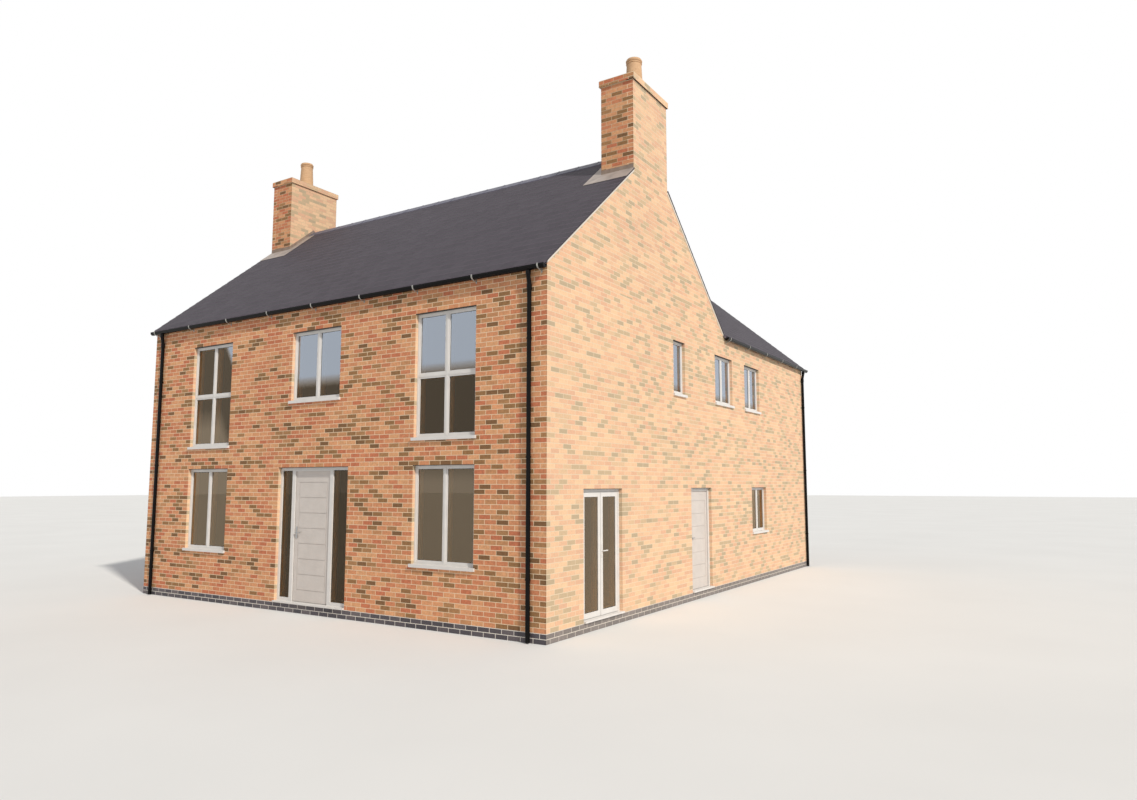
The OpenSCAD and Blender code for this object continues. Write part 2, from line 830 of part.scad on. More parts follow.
// A boarded leaf: level grooves part the boards, and a groove down each side
// parts them from the stiles
module boarded_leaf(left, right, bottom, top, back) {
    front = back - leaf_t;
    field_h = top - bottom - 2 * field_end;
    board_count = round(field_h / board_h);
    difference() {
        block([left, front, bottom], [right, back, top]);
        for (i = [0:board_count])
            translate([0, 0, bottom + field_end + i * field_h / board_count])
                block([left + field_in, front - 1, -groove_w / 2], [right - field_in, front + groove_d, groove_w / 2]);
        for (x = [left + field_in, right - field_in])
            block([x - groove_w / 2, front - 1, bottom + field_end - groove_w / 2],
                  [x + groove_w / 2, front + groove_d, top - field_end + groove_w / 2]);
    }
}

// A lever handle with its plate on each face of a leaf. side is 1 where the
// lever points to the right.
module lever_handle(x, handle_z, front, back, side) {
    for (face = [[front, -1], [back, 1]]) {
        y = face[0];
        out = face[1];
        block([x - plate_w / 2, min(y, y + out * plate_t), handle_z - plate_h / 2],
              [x + plate_w / 2, max(y, y + out * plate_t), handle_z + plate_h / 2]);
        translate([x, y, handle_z]) rotate([-90 * out, 0, 0]) cylinder(r = handle_r, h = handle_out);
        translate([x, y + out * (handle_out - handle_r), handle_z]) rotate([0, 90 * side, 0])
            cylinder(r = handle_r, h = handle_l);
    }
}

// Three hinges on one face of a leaf. The knuckles turn on the line of the
// joint, in the middle of the gap and just outside the face. side is 1 where
// the leaf lies to the right of its hinges, out is 1 where they are behind it.
module hinges(edge, face, bottom, top, side, out)
    for (z = [bottom + 200, (bottom + top) / 2, top - 200]) translate([edge - side * leaf_gap / 2, face, z]) {
        translate([0, out * hinge_in, -knuckle_l / 2]) cylinder(r = knuckle_r, h = knuckle_l);
        block([min(0, side * flap_w), min(0, out * flap_t), -knuckle_l / 2],
              [max(0, side * flap_w), max(0, out * flap_t), knuckle_l / 2]);
    }

leaf_back = reveal + frame_d;
leaf_front = leaf_back - leaf_t;
leaf_bottom = plinth_z + threshold_h + leaf_gap;

module front_door()
    color(door_grey) on_front()
        boarded_leaf(door_left + leaf_gap, door_right - leaf_gap, leaf_bottom, door_head - leaf_gap, leaf_back);

module front_door_fittings()
    color(lead) on_front() {
        lever_handle(door_left + handle_in, front_handle_z, leaf_front, leaf_back, 1);
        hinges(door_right - leaf_gap, leaf_back, leaf_bottom, door_head - leaf_gap, -1, 1);
    }

side_leaf_left = left_of(side_doorway) + door_frame_w;
side_leaf_right = right_of(side_doorway) - door_frame_w;
side_leaf_top = side_head_z - door_frame_w;

module side_door_frame()
    color(frame_white) on_right() door_frame(side_doorway)
        leaf_hole(side_leaf_left, side_leaf_right, side_leaf_top, leaf_front - stop_gap, leaf_back + 1);

module side_door()
    color(door_grey) on_right()
        boarded_leaf(side_leaf_left + leaf_gap, side_leaf_right - leaf_gap, leaf_bottom, side_leaf_top - leaf_gap, leaf_back);

module side_door_fittings()
    color(lead) on_right() {
        lever_handle(side_leaf_left + handle_in, side_handle_z, leaf_front, leaf_back, 1);
        hinges(side_leaf_right - leaf_gap, leaf_back, leaf_bottom, side_leaf_top - leaf_gap, -1, 1);
    }

// The glazed pair opens outwards, so its leaves are flush with the frame's face
french_left = left_of(french_doorway) + door_frame_w;
french_right = right_of(french_doorway) - door_frame_w;
french_mid = (french_left + french_right) / 2;
french_top = side_head_z - door_frame_w;

module french_door_frame()
    color(frame_white) on_right() door_frame(french_doorway)
        leaf_hole(french_left, french_right, french_top, reveal - 1, reveal + leaf_t + stop_gap);

module glazed_leaf(left, right)
    difference() {
        block([left, reveal, leaf_bottom], [right, reveal + leaf_t, french_top - leaf_gap]);
        block([left + stile_w, reveal - 1, leaf_bottom + bottom_rail_h],
              [right - stile_w, reveal + leaf_t + 1, french_top - leaf_gap - stile_w]);
    }

module leaf_glass(left, right)
    block([left + stile_w, reveal + (leaf_t - glass_t) / 2, leaf_bottom + bottom_rail_h],
          [right - stile_w, reveal + (leaf_t + glass_t) / 2, french_top - leaf_gap - stile_w]);

module french_leaf_front()
    color(frame_white) on_right() glazed_leaf(french_left + leaf_gap, french_mid - meeting_gap / 2);

module french_leaf_rear()
    color(frame_white) on_right() glazed_leaf(french_mid + meeting_gap / 2, french_right - leaf_gap);

module french_glass_front()
    color(pane) on_right() leaf_glass(french_left + leaf_gap, french_mid - meeting_gap / 2);

module french_glass_rear()
    color(pane) on_right() leaf_glass(french_mid + meeting_gap / 2, french_right - leaf_gap);

module french_front_hinges()
    color(frame_white) on_right() hinges(french_left + leaf_gap, reveal, leaf_bottom, french_top - leaf_gap, 1, -1);

module french_rear_fittings()
    color(lead) on_right() {
        lever_handle(french_mid + meeting_gap / 2 + stile_w / 2, side_handle_z, reveal, reveal + leaf_t, 1);
        hinges(french_right - leaf_gap, reveal, leaf_bottom, french_top - leaf_gap, -1, -1);
    }

plinth();
ground_floor();
first_floor();
upper_ceiling();
front_wall_left();
front_wall_over_door();
front_wall_right();
side_wall_front();
side_wall_over_french_doors();
side_wall_middle();
side_wall_over_side_door();
side_wall_rear();
left_gable_wall();
main_rear_wall();
wing_left_wall();
wing_rear_wall();
main_roof_front();
main_roof_rear();
wing_roof_right();
wing_roof_left();
ridge_tiles();
verge_mortar();
gutters();
gutter_brackets();
downpipes();
right_chimney();
left_chimney();
chimney_pots();
chimney_flashings();
front_windows();
side_windows();
rear_windows();
window_sills();
front_glass();
side_glass();
rear_glass();
front_door_frame();
front_door();
front_door_fittings();
side_door_frame();
side_door();
side_door_fittings();
french_door_frame();
french_leaf_front();
french_leaf_rear();
french_glass_front();
french_glass_rear();
french_front_hinges();
french_rear_fittings();
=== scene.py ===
import math
import random

import bpy
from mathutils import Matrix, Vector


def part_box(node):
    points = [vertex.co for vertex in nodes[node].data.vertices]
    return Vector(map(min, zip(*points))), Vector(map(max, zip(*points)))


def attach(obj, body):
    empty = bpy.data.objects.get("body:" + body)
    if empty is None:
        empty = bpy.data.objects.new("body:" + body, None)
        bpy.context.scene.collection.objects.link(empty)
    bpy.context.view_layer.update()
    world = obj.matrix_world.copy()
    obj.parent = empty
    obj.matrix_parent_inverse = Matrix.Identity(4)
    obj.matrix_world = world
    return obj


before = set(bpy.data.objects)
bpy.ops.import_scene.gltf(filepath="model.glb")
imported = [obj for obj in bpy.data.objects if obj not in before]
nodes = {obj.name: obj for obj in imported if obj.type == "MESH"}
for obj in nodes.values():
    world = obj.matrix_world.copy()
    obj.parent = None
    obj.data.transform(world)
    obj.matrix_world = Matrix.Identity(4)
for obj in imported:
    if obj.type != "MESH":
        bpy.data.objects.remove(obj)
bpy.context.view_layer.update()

# Studio
# The house stands on a pale floor that runs to the horizon, under a pale sky and
# a soft sun from the right. The camera stands above head height, off the near corner.
camera_spot = (11.448, -13.012, 2.24)
camera_turn = (96.063, 0.0, 32.349)
camera_lens = 25.24
film_width = 36.0
floor_half = 160.0
floor_drop = 0.002
sun_turn = (52.0, 0.0, 68.0)
sun_strength = 2.95
sun_spread = 3.0
sun_colour = (1.0, 0.95, 0.87)
sky_strength = 0.44
sky_colour = (0.93, 0.96, 1.0, 1.0)
backdrop_colour = (1.0, 1.0, 1.0, 1.0)
noise_low = 0.3
noise_high = 0.7


def shade_of(red, green, blue):
    """A colour as it looks on a screen, from 0 to 255, as the renderer wants it."""
    parts = [part / 255 for part in (red, green, blue)]
    return tuple(p / 12.92 if p < 0.04045 else ((p + 0.055) / 1.055) ** 2.4 for p in parts) + (1.0,)


def new_finish(name, roughness, metallic=0.0):
    finish = bpy.data.materials.new(name)
    finish.use_nodes = True
    shader = finish.node_tree.nodes["Principled BSDF"]
    shader.inputs["Roughness"].default_value = roughness
    shader.inputs["Metallic"].default_value = metallic
    return finish, finish.node_tree, shader


def clouds(tree, scale, detail=3.0, stretch=(1, 1, 1)):
    """Soft noise over a surface, with scale as patches to the metre."""
    spot = tree.nodes.new("ShaderNodeTexCoord")
    laid = tree.nodes.new("ShaderNodeMapping")
    laid.inputs["Scale"].default_value = stretch
    noise = tree.nodes.new("ShaderNodeTexNoise")
    noise.inputs["Scale"].default_value = scale
    noise.inputs["Detail"].default_value = detail
    tree.links.new(spot.outputs["Object"], laid.inputs["Vector"])
    tree.links.new(laid.outputs["Vector"], noise.inputs["Vector"])
    return noise.outputs["Fac"]


def ramp_of(tree, source, stops, stepped=False):
    """Colours picked by a value from 0 to 1. stops is [(from, colour)]."""
    ramp = tree.nodes.new("ShaderNodeValToRGB")
    ramp.color_ramp.interpolation = "CONSTANT" if stepped else "LINEAR"
    while len(ramp.color_ramp.elements) < len(stops):
        ramp.color_ramp.elements.new(1.0)
    for element, (place, colour) in zip(ramp.color_ramp.elements, stops):
        element.position = place
        element.color = colour
    tree.links.new(source, ramp.inputs["Fac"])
    return ramp.outputs["Color"]


def patchy(tree, amount, dark, light):
    """Two shades of a finish, one fading into the other in patches."""
    return ramp_of(tree, amount, [(noise_low, shade_of(*dark)), (noise_high, shade_of(*light))])


floor_finish, tree, shader = new_finish("studio_floor", roughness=0.9)
pale = patchy(tree, clouds(tree, scale=0.3), (226, 226, 225), (230, 230, 229))
tree.links.new(pale, shader.inputs["Base Color"])

floor_corners = []
for x, y in ((-1, -1), (1, -1), (1, 1), (-1, 1)):
    floor_corners.append((x * floor_half, y * floor_half, -floor_drop))
floor_mesh = bpy.data.meshes.new("studio_floor")
floor_mesh.from_pydata(floor_corners, [], [(0, 1, 2, 3)])
floor_mesh.materials.append(floor_finish)
studio_floor = bpy.data.objects.new("studio_floor", floor_mesh)
bpy.context.collection.objects.link(studio_floor)

sky = bpy.data.worlds.new("pale_sky")
sky.use_nodes = True
bpy.context.scene.world = sky
tree = sky.node_tree
lighting = tree.nodes["Background"]
lighting.inputs["Color"].default_value = sky_colour
lighting.inputs["Strength"].default_value = sky_strength
backdrop = tree.nodes.new("ShaderNodeBackground")
backdrop.inputs["Color"].default_value = backdrop_colour
ray = tree.nodes.new("ShaderNodeLightPath")
seen = tree.nodes.new("ShaderNodeMath")
seen_or_mirrored = tree.nodes.new("ShaderNodeMath")
seen_or_mirrored.use_clamp = True
mixed = tree.nodes.new("ShaderNodeMixShader")
tree.links.new(ray.outputs["Is Camera Ray"], seen.inputs[0])
tree.links.new(ray.outputs["Is Glossy Ray"], seen.inputs[1])
tree.links.new(seen.outputs[0], seen_or_mirrored.inputs[0])
tree.links.new(ray.outputs["Is Transmission Ray"], seen_or_mirrored.inputs[1])
tree.links.new(seen_or_mirrored.outputs[0], mixed.inputs["Fac"])
tree.links.new(lighting.outputs["Background"], mixed.inputs[1])
tree.links.new(backdrop.outputs["Background"], mixed.inputs[2])
tree.links.new(mixed.outputs["Shader"], tree.nodes["World Output"].inputs["Surface"])

sun_lamp = bpy.data.lights.new("sun", "SUN")
sun_lamp.energy = sun_strength
sun_lamp.angle = math.radians(sun_spread)
sun_lamp.color = sun_colour
sun = bpy.data.objects.new("sun", sun_lamp)
sun.rotation_euler = [math.radians(turn) for turn in sun_turn]
bpy.context.collection.objects.link(sun)

camera_body = bpy.data.cameras.new("camera")
camera_body.lens = camera_lens
camera_body.sensor_width = film_width
camera = bpy.data.objects.new("camera", camera_body)
camera.location = camera_spot
camera.rotation_euler = [math.radians(turn) for turn in camera_turn]
bpy.context.collection.objects.link(camera)
bpy.context.scene.camera = camera
bpy.context.scene.view_settings.view_transform = "Standard"

# Plinth
# The house stands on two courses of blue-black engineering brick, fired hard so
# that splashing rain doesn't harm them, and laid all round in pale mortar.
brick_l = 0.215
brick_h = 0.065
joint = 0.010
course = brick_h + joint
plinth_courses = 2
brick_proud = 0.001
reveal_proud = 0.0015
reveal_depth = 0.058
bed_in = 0.002

# An opening cuts a course where it takes more of it than bed_slack, a strip under a
# sill is laid where it is thicker than thin_strip, and no brick is cut shorter than
# shortest_cut.
bed_slack = 0.012
thin_strip = 0.015
shortest_cut = 0.05
same_spot = 0.001
wall_reach = 0.2

# Each brick has a tone from 0 to 1. The steps turn the course and the place of a
# corner brick into the seed of its own tone.
tone_seed = 7
plain_tone = 0.5
row_step = 7919
x_step = 104729
y_step = 1299709

# A surface looks along an axis where its normal lies between these.
facing_from = 0.7
facing_to = 1.1
reveal_slack = 0.01
corner_clear = 0.1
random.seed(tone_seed)


class Pile:
    """The blocks of one piece, gathered before its mesh is made."""

    def __init__(self):
        self.points = []
        self.faces = []
        self.tones = []

    def block(self, front, back, tone=plain_tone):
        """Adds a block between two outlines that run anticlockwise as seen from outside."""
        first, count = len(self.points), len(front)
        self.points += front + back
        self.faces.append(range(first, first + count))
        for i in range(count):
            j = (i + 1) % count
            self.faces.append((first + i, first + count + i, first + count + j, first + j))
        self.tones += [tone] * (count + 1)

    def close(self, corners):
        """Adds the back of the block that was laid last."""
        last = len(self.points) - 1
        self.faces.append(range(last, last - corners, -1))
        self.tones.append(plain_tone)

    def piece(self, name, finish, body="house"):
        mesh = bpy.data.meshes.new(name)
        mesh.from_pydata(self.points, [], [tuple(face) for face in self.faces])
        tones = mesh.attributes.new("tone", "FLOAT", "FACE")
        tones.data.foreach_set("value", self.tones)
        mesh.materials.append(finish)
        made = bpy.data.objects.new(name, mesh)
        bpy.context.collection.objects.link(made)
        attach(made, body)


class Face:
    """One upright face of the brickwork. along is 0 where it runs along X and 1 along Y,
    and out is the side that it looks to. phase says which courses start with a whole brick."""

    def __init__(self, along, plane, out, start, end, phase):
        self.along, self.plane, self.out = along, plane, out
        self.start, self.end, self.phase = start, end, phase
        bricks = round((end - start + joint) / (brick_l + joint) * 2) / 2
        self.module = (end - start + joint) / bricks

    def at(self, place, z, proud):
        spot = [0.0, 0.0, z]
        spot[self.along] = place
        spot[1 - self.along] = self.plane + self.out * proud
        return tuple(spot)

    def outline(self, corners, proud):
        ring = [self.at(place, z, proud) for place, z in corners]
        return ring[::-1] if (self.along == 0) == (self.out > 0) else ring

    def slab(self, pile, left, right, low, high, front, back):
        corners = [(left, low), (right, low), (right, high), (left, high)]
        pile.block(self.outline(corners, front), self.outline(corners, back))

    def holds(self, low, high):
        """Whether a box lies in this face's wall."""
        middle = [(a + b) / 2 for a, b in zip(low, high)]
        near = abs(middle[1 - self.along] - self.plane) < wall_reach
        return near and self.start < middle[self.along] < self.end


def clipped(shape, region):
    """The part of one convex outline inside another, both anticlockwise."""
    for (ax, ay), (bx, by) in zip(region, region[1:] + region[:1]):
        kept = []
        sides = [(bx - ax) * (y - ay) - (by - ay) * (x - ax) for x, y in shape]
        for i, (x, y) in enumerate(shape):
            j = (i + 1) % len(shape)
            if sides[i] >= 0:
                kept.append((x, y))
            if (sides[i] >= 0) != (sides[j] >= 0):
                part = sides[i] / (sides[i] - sides[j])
                kept.append((x + (shape[j][0] - x) * part, y + (shape[j][1] - y) * part))
        shape = kept
        if len(shape) < 3:
            return []
    return shape


def free_runs(face, low, high, openings):
    """The stretches of a course beside its openings, and below a sill that cuts the
    course, each as (left, right, top, opening on the left, opening on the right)."""
    runs, at, before = [], face.start, False
    for left, right, bottom, top in sorted(openings):
        if bottom < high - bed_slack and top > low + bed_slack:
            runs.append((at, left, high, before, True))
            if bottom > low + thin_strip:
                runs.append((left, right, bottom, False, False))
            at, before = right, True
    runs.append((at, face.end, high, before, False))
    return runs


def corner_tone(face, place, row):
    """The same for both faces of the brick that turns a corner."""
    x, y, _ = face.at(place, 0, 0)
    seed = row * row_step + round(x * 100) * x_step + round(y * 100) * y_step
    return random.Random(seed).random()


def lay_course(pile, face, row, openings=(), region=None, raised=0.0):
    low = row * course + raised
    shift = face.module / 2 if (row + face.phase) % 2 else 0.0
    for left, right, high, hole_left, hole_right in free_runs(face, low, low + brick_h, openings):
        first = math.floor((left - face.start + shift) / face.module)
        ends = [left]
        place = face.start - shift + (first + 1) * face.module - joint
        while place < right - shortest_cut:
            if place > left + shortest_cut:
                ends += [place, place + joint]
            place += face.module
        ends.append(right)
        for start, end in zip(ends[::2], ends[1::2]):
            tone = random.random()
            if abs(start - face.start) < same_spot:
                tone = corner_tone(face, face.start, row)
            elif abs(end - face.end) < same_spot:
                tone = corner_tone(face, face.end, row)
            at_hole = (hole_left and start == left, hole_right and end == right)
            start -= reveal_proud if at_hole[0] else (brick_proud if start == face.start else 0)
            end += reveal_proud if at_hole[1] else (brick_proud if end == face.end else 0)
            shape = [(start, low), (end, low), (end, high), (start, high)]
            shape = clipped(shape, region) if region else shape
            if shape:
                back = -reveal_depth if any(at_hole) else -bed_in
                pile.block(face.outline(shape, brick_proud), face.outline(shape, back), tone)


low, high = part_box("plinth")
main_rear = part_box("main_rear_wall")[1].y
wing_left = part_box("wing_left_wall")[0].x
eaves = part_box("main_rear_wall")[1].z
front_face = Face(0, low.y, -1, low.x, high.x, 0)
right_face = Face(1, high.x, 1, low.y, high.y, 1)
left_face = Face(1, low.x, -1, low.y, main_rear, 1)
main_rear_face = Face(0, main_rear, 1, low.x, wing_left, 0)
wing_left_face = Face(1, wing_left, -1, main_rear, high.y, 0)
wing_rear_face = Face(0, high.y, 1, wing_left, high.x, 0)
faces = [front_face, right_face, left_face, main_rear_face, wing_left_face, wing_rear_face]


def dress(finish, *names):
    for name in names:
        slots = nodes[name].data.materials
        slots.clear()
        slots.append(finish)


def between(tree, value, low, high):
    """1 where the value lies between two limits."""
    check = tree.nodes.new("ShaderNodeMath")
    check.operation = "COMPARE"
    check.inputs[1].default_value = (low + high) / 2
    check.inputs[2].default_value = (high - low) / 2
    tree.links.new(value, check.inputs[0])
    return check.outputs[0]


def combined(tree, operation, first, second):
    result = tree.nodes.new("ShaderNodeMath")
    result.operation = operation
    tree.links.new(first, result.inputs[0])
    tree.links.new(second, result.inputs[1])
    return result.outputs[0]


def parts_of(tree, what):
    """X, Y and Z of the Position or the Normal of a surface."""
    surface = tree.nodes.new("ShaderNodeNewGeometry")
    parts = tree.nodes.new("ShaderNodeSeparateXYZ")
    tree.links.new(surface.outputs[what], parts.inputs["Vector"])
    return parts.outputs


def painted(tree, colour, share, coat):
    """The colour, with a coat of another one where share is 1; used here to paint light and shade."""
    mixed = tree.nodes.new("ShaderNodeMix")
    mixed.data_type = "RGBA"
    mixed.inputs["B"].default_value = coat
    tree.links.new(share, mixed.inputs["Factor"])
    tree.links.new(colour, mixed.inputs["A"])
    return mixed.outputs["Result"]


def painted_sunlit_side(tree, colour, amount, pale):
    """The colour, painted paler on the sunny right-hand faces and on the reveals cut through them, as
    painted sunlight.
    """
    spot = parts_of(tree, "Position")
    near = between(tree, spot["X"], high.x - reveal_depth - reveal_slack, high.x + reveal_slack)
    along = between(tree, spot["Y"], low.y + corner_clear, high.y - corner_clear)
    under = between(tree, spot["Z"], 0.0, eaves)
    reveal = combined(tree, "MULTIPLY", combined(tree, "MULTIPLY", near, along), under)
    facing_right = between(tree, parts_of(tree, "Normal")["X"], facing_from, facing_to)
    share = tree.nodes.new("ShaderNodeMapRange")
    share.inputs["To Max"].default_value = amount
    tree.links.new(combined(tree, "MAXIMUM", facing_right, reveal), share.inputs["Value"])
    return painted(tree, colour, share.outputs["Result"], pale)


def weathered(tree, colour, amount, low, high):
    """The colour, darker where amount is low and lighter where it is high."""
    level = tree.nodes.new("ShaderNodeMapRange")
    level.inputs["From Min"].default_value = noise_low
    level.inputs["From Max"].default_value = noise_high
    level.inputs["To Min"].default_value = low
    level.inputs["To Max"].default_value = high
    shade = tree.nodes.new("ShaderNodeHueSaturation")
    tree.links.new(amount, level.inputs["Value"])
    tree.links.new(level.outputs["Result"], shade.inputs["Value"])
    tree.links.new(colour, shade.inputs["Color"])
    return shade.outputs["Color"]


def roughened(tree, shader, height, depth, strength):
    """Gives the surface a relief, with depth in metres."""
    bump = tree.nodes.new("ShaderNodeBump")
    bump.inputs["Strength"].default_value = strength
    bump.inputs["Distance"].default_value = depth
    tree.links.new(height, bump.inputs["Height"])
    tree.links.new(bump.outputs["Normal"], shader.inputs["Normal"])


def block_tone(tree):
    """The number from 0 to 1 that each block of a pile was given."""
    tone = tree.nodes.new("ShaderNodeAttribute")
    tone.attribute_name = "tone"
    return tone.outputs["Fac"]


def graded(tree, dark, middle, light):
    """Three shades, shared out over the blocks of a pile by their tone."""
    stops = [(0.0, shade_of(*dark)), (0.5, shade_of(*middle)), (1.0, shade_of(*light))]
    return ramp_of(tree, block_tone(tree), stops)


mortar_finish, tree, shader = new_finish("lime_mortar", roughness=0.95)
sand = clouds(tree, scale=90.0, detail=4.0)
cream = patchy(tree, sand, (234, 227, 216), (244, 239, 230))
# The mortar on the right-hand side and in its reveals is painted paler: painted sunlight.
cream = painted_sunlit_side(tree, cream, amount=1.0, pale=shade_of(220, 212, 200))
cream = weathered(tree, cream, clouds(tree, scale=1.3), low=0.93, high=1.02)
tree.links.new(cream, shader.inputs["Base Color"])
roughened(tree, shader, sand, depth=0.002, strength=0.6)

blue_finish, tree, shader = new_finish("engineering_brick", roughness=0.5)
blues = graded(tree, (62, 58, 64), (80, 74, 80), (100, 92, 94))
# The blue bricks on the right-hand side are painted paler: painted sunlight.
blues = painted_sunlit_side(tree, blues, amount=0.35, pale=shade_of(172, 162, 152))
blues = weathered(tree, blues, clouds(tree, scale=45.0), low=0.85, high=1.15)
tree.links.new(blues, shader.inputs["Base Color"])
roughened(tree, shader, clouds(tree, scale=120.0), depth=0.001, strength=0.5)

dress(mortar_finish, "plinth")
plinth_bricks = Pile()
for face in faces:
    for row in range(plinth_courses):
        lay_course(plinth_bricks, face, row)
plinth_bricks.piece("plinth_bricks", blue_finish)

# Floors
# The ground floor is a slab with a light oak-coloured covering. The first floor and
# the ceiling have the same oak-coloured finish, and show only through the glass.
boards_finish, tree, shader = new_finish("floor_boards", roughness=0.5)
grain = clouds(tree, scale=3.0, detail=6.0, stretch=(1.0, 14.0, 1.0))
oak = patchy(tree, grain, (150, 124, 94), (184, 158, 126))
tree.links.new(oak, shader.inputs["Base Color"])
roughened(tree, shader, grain, depth=0.001, strength=0.4)
dress(boards_finish, "ground_floor", "first_floor", "upper_ceiling")

# Walls
# The walls are multi-coloured facing bricks in stretcher bond, orange-red with some
# dark fired ones, bedded in cream mortar flush with their arrises. Inside they are
# plastered, and a steel lintel carries the brickwork over each opening.
lintel_t = 0.006
lintel_over = 0.002
lintel_proud = 0.001
plaster_in = 0.13
past_corner = 0.01
sill_gap = 0.01
weld_places = 4

wall_finish, tree, shader = new_finish("mortar_and_plaster", roughness=0.95)
sand = clouds(tree, scale=90.0, detail=4.0)
cream = patchy(tree, sand, (230, 206, 172), (242, 221, 190))
# The mortar on the right-hand side and in its reveals is painted paler: painted sunlight.
cream = painted_sunlit_side(tree, cream, amount=1.0, pale=shade_of(224, 206, 178))
cream = weathered(tree, cream, clouds(tree, scale=1.3), low=0.93, high=1.02)
plaster = patchy(tree, clouds(tree, scale=2.0), (198, 170, 138), (212, 186, 154))
# Downward-facing mortar, as under the chimney caps, is painted dark brown: painted shade.
facing_down = between(tree, parts_of(tree, "Normal")["Z"], -facing_to, -facing_from)
outside = painted(tree, cream, facing_down, shade_of(84, 58, 42))
spot = parts_of(tree, "Position")


def room(tree, left, back):
    """1 inside the plastered faces of one range of the house."""
    across = between(tree, spot["X"], left + plaster_in, high.x - plaster_in)
    deep = between(tree, spot["Y"], low.y + plaster_in, back - plaster_in)
    return combined(tree, "MULTIPLY", across, deep)


inside = combined(tree, "MAXIMUM", room(tree, low.x, main_rear), room(tree, wing_left, high.y))
both = tree.nodes.new("ShaderNodeMix")
both.data_type = "RGBA"
tree.links.new(inside, both.inputs["Factor"])
tree.links.new(outside, both.inputs["A"])
tree.links.new(plaster, both.inputs["B"])
tree.links.new(both.outputs["Result"], shader.inputs["Base Color"])
roughened(tree, shader, sand, depth=0.002, strength=0.5)

brick_finish, tree, shader = new_finish("facing_brick", roughness=0.88)
brick_shades = [
    (0.00, shade_of(210, 144, 103)),
    (0.16, shade_of(203, 131, 93)),
    (0.32, shade_of(215, 153, 110)),
    (0.46, shade_of(195, 117, 83)),
    (0.58, shade_of(217, 160, 116)),
    (0.70, shade_of(192, 138, 96)),
    (0.78, shade_of(148, 109, 70)),
    (0.88, shade_of(126, 92, 60)),
    (0.94, shade_of(168, 124, 83)),
]
fired = ramp_of(tree, block_tone(tree), brick_shades, stepped=True)
fired = weathered(tree, fired, clouds(tree, scale=32.0, detail=4.0), low=0.84, high=1.14)
fired = weathered(tree, fired, clouds(tree, scale=0.7), low=0.94, high=1.05)
# The bricks on the right-hand side and in its reveals are painted paler: painted sunlight.
fired = painted_sunlit_side(tree, fired, amount=0.35, pale=shade_of(248, 236, 204))
tree.links.new(fired, shader.inputs["Base Color"])
roughened(tree, shader, clouds(tree, scale=140.0, detail=5.0), depth=0.002, strength=0.7)

lintel_finish, tree, shader = new_finish("lintel_steel", roughness=0.6, metallic=0.3)
steel = patchy(tree, clouds(tree, scale=20.0), (52, 48, 46), (70, 64, 60))
tree.links.new(steel, shader.inputs["Base Color"])

dress(
    wall_finish,
    "front_wall_left",
    "front_wall_over_door",
    "front_wall_right",
    "side_wall_front",
    "side_wall_over_french_doors",
    "side_wall_middle",
    "side_wall_over_side_door",
    "side_wall_rear",
    "left_gable_wall",
    "main_rear_wall",
    "wing_left_wall",
    "wing_rear_wall",
)


def solids(*names):
    """The boxes of the separate solids in some CAD nodes."""
    boxes = []
    for name in names:
        mesh = nodes[name].data
        spots = [tuple(round(part, weld_places) for part in vertex.co) for vertex in mesh.vertices]
        parent = {spot: spot for spot in spots}

        def root(spot):
            while parent[spot] != spot:
                parent[spot] = parent[parent[spot]]
                spot = parent[spot]
            return spot

        for polygon in mesh.polygons:
            head = root(spots[polygon.vertices[0]])
            for corner in polygon.vertices[1:]:
                parent[root(spots[corner])] = head
        groups = {}
        for spot in parent:
            groups.setdefault(root(spot), []).append(spot)
        for group in groups.values():
            boxes.append((tuple(map(min, zip(*group))), tuple(map(max, zip(*group)))))
    return boxes


window_frames = solids("front_windows", "side_windows", "rear_windows")
window_sills = solids("window_sills")
door_frames = [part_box(name) for name in ("front_door_frame", "side_door_frame", "french_door_frame")]


def openings_in(face):
    """The windows and doorways of a face, as (left, right, bottom, top)."""
    found = []
    for lowest, highest in window_frames:
        if face.holds(lowest, highest):
            left, right = lowest[face.along], highest[face.along]
            middle = (left + right) / 2
            sills = [
                sill[0][2]
                for sill in window_sills
                if face.holds(*sill)
                and sill[0][face.along] < middle < sill[1][face.along]
                and abs(sill[1][2] - lowest[2]) < sill_gap
            ]
            found.append((left, right, min(sills), highest[2]))
    for lowest, highest in door_frames:
        if face.holds(lowest, highest):
            found.append((lowest[face.along], highest[face.along], lowest[2], highest[2]))
    return found


wing_half = (high.x - wing_left) / 2
slope = (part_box("wing_rear_wall")[1].z - eaves) / wing_half
pitch = math.atan(slope)
cap_out = 0.03
stack_low, stack_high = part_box("right_chimney")
stack_half = stack_high.y - cap_out


def gable(middle, half):
    """The outline of a gable's brickwork above the eaves."""
    return [(middle - half, eaves), (middle + half, eaves), (middle, eaves + half * slope)]


